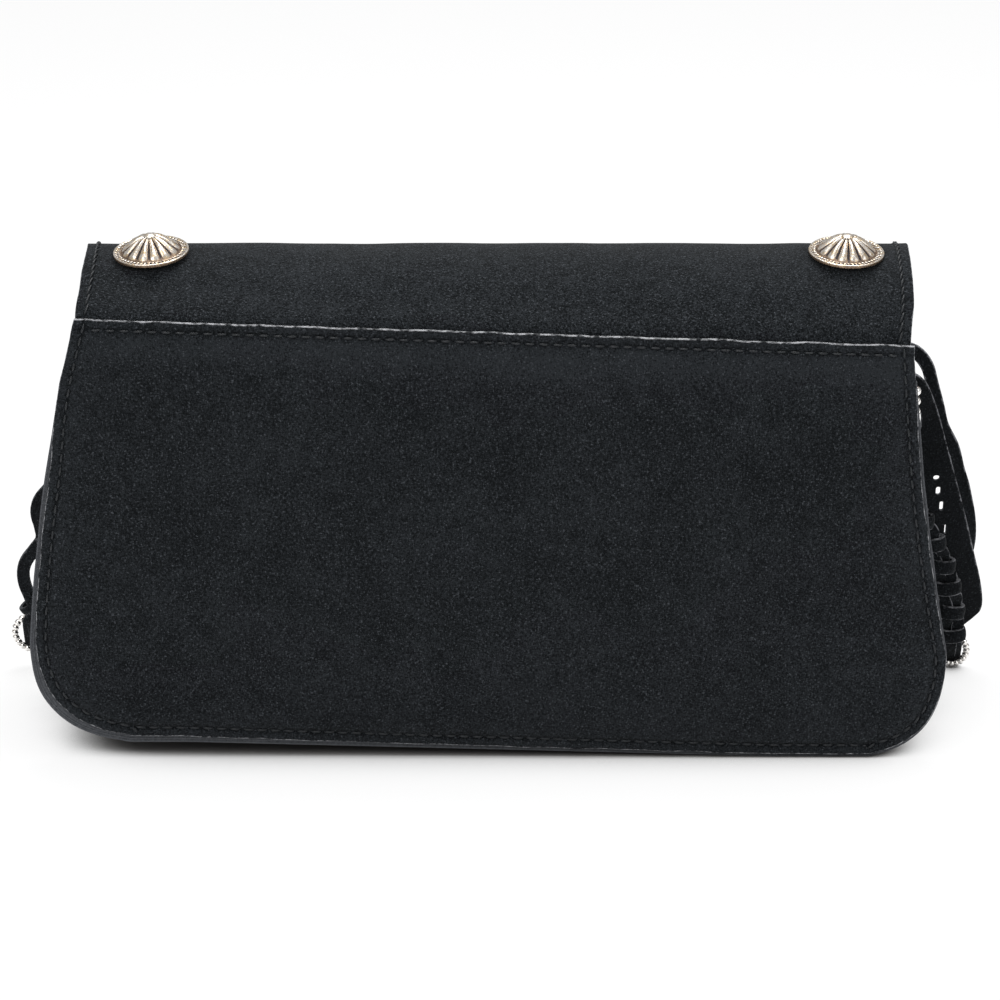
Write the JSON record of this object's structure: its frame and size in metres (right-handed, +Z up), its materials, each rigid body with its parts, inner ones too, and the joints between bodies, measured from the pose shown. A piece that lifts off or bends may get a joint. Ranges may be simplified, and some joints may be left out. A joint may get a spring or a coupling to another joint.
{
  "type": "fringed suede flap bag",
  "caption": "Soft black suede flap bag with a plain back, out-turned seams, metal discs on top and a fringe of crossed, tied laces on the front.",
  "frame": {"origin": "on the table, at the middle of the whole bag's box, fringe included", "axes": "+X to the right seen from the plain back, -Y out of the plain back, +Y out of the fringed front, +Z up"},
  "size_m": [0.3417, 0.087, 0.1751],
  "materials": {
    "suede_panel": "brushed black suede, raw cut edges",
    "suede_flap": "brushed black suede, raw cut edges",
    "suede_lace": "flat black suede lace",
    "silver_metal": "old silver colour, dark in the grooves",
    "screw_metal": "plain"
  },
  "bodies": {
    "bag": {"back_panel": "suede_panel", "front_panel": "suede_panel", "gusset": "suede_panel"},
    "flap": {"flap": "suede_flap", "concho_left": "silver_metal", "concho_right": "silver_metal", "concho_screw_left": "screw_metal", "concho_screw_right": "screw_metal", "ring_left": "silver_metal", "ring_right": "silver_metal", "bead_bar_right": "silver_metal", "fringe_01": "suede_lace", "fringe_02": "suede_lace", "fringe_03": "suede_lace", "fringe_04": "suede_lace", "fringe_05": "suede_lace", "fringe_06": "suede_lace", "fringe_07": "suede_lace", "fringe_08": "suede_lace", "fringe_09": "suede_lace", "fringe_10": "suede_lace", "fringe_11": "suede_lace", "fringe_12": "suede_lace", "fringe_13": "suede_lace", "fringe_14": "suede_lace", "fringe_15": "suede_lace", "fringe_16": "suede_lace"}
  },
  "joints": [
    {"name": "flap_hinge", "type": "hinge", "parent": "bag", "child": "flap", "pos_m": [0, -0.0405, 0.1542], "axis": [1, 0, 0], "range_deg": [0, 120]}
  ]
}
